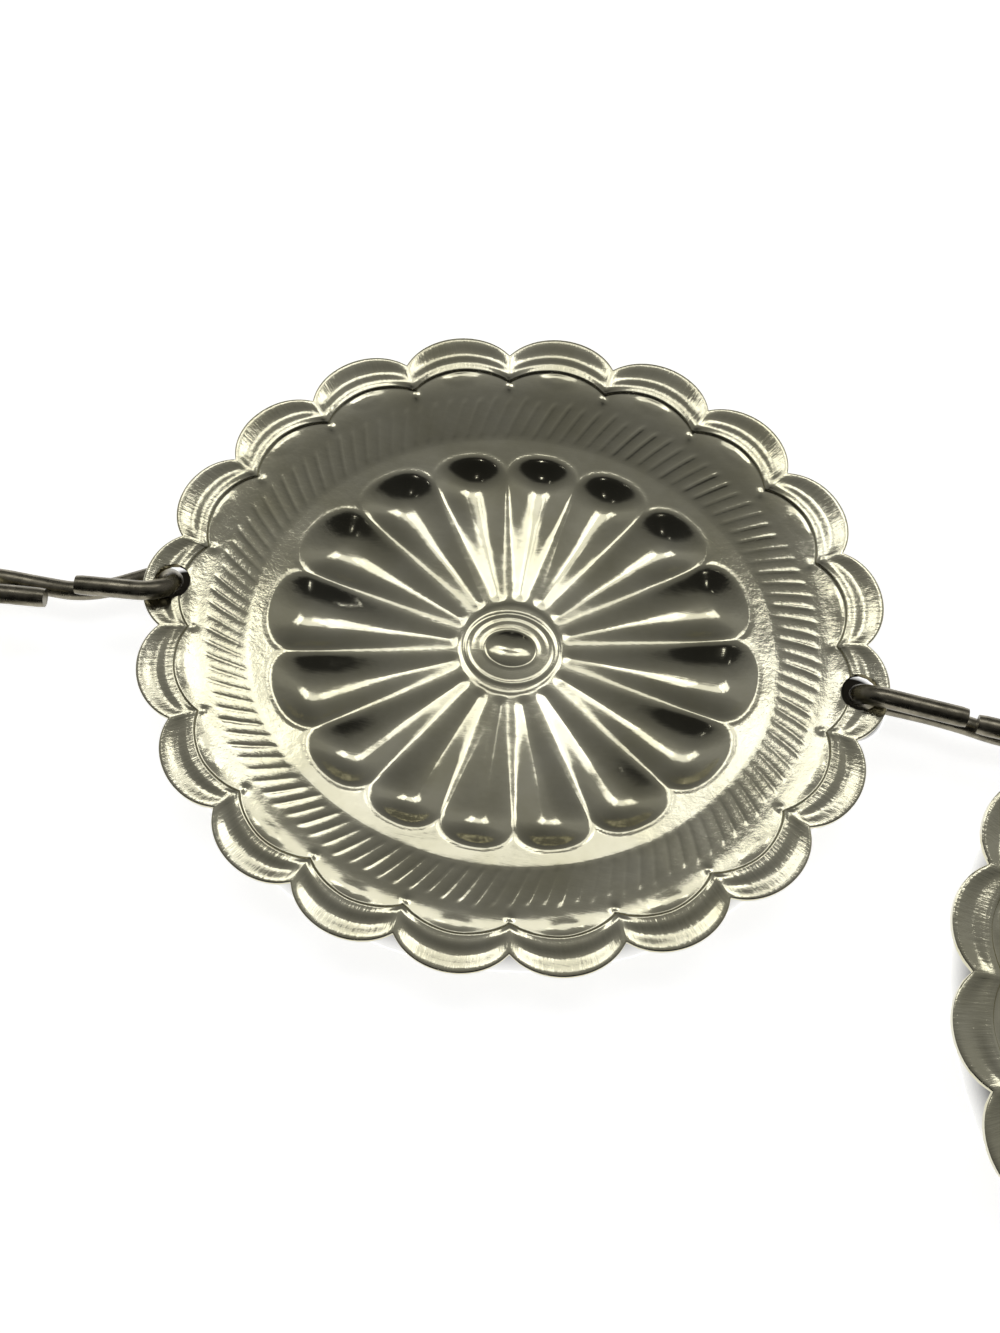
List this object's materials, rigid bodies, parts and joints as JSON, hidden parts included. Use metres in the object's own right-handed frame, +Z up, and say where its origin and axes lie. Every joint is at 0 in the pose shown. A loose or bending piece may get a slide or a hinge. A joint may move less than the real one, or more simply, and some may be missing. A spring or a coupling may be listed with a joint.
{
  "type": "linked concho belt",
  "caption": "Waist belt of oval stamped metal conchos with scalloped rims and petal relief, joined end to end by bent wire links and closed by a plain wire hook.",
  "frame": {"origin": "middle of the closed belt's plan, on the surface that it rests on", "axes": "+Z up and square to the ring that the belt lies in, +Y from the middle towards the pictured concho, +X along that concho's long axis"},
  "size_m": [0.352, 0.3494, 0.0095],
  "materials": {
    "concho_metal": "polished nickel silver, lightly tarnished, fine scratches and small pits",
    "link_wire": "dark round wire, half polished, with nicks from bending"
  },
  "bodies": {
    "root": {"concho_01": "concho_metal", "concho_02": "concho_metal", "concho_03": "concho_metal", "concho_04": "concho_metal", "concho_05": "concho_metal", "concho_06": "concho_metal", "concho_07": "concho_metal", "concho_08": "concho_metal", "concho_09": "concho_metal", "concho_10": "concho_metal", "link_01": "link_wire", "link_02": "link_wire", "link_03": "link_wire", "link_04": "link_wire", "link_05": "link_wire", "link_06": "link_wire", "link_07": "link_wire", "link_08": "link_wire", "link_09": "link_wire", "hook_clasp": "link_wire"}
  },
  "joints": []
}
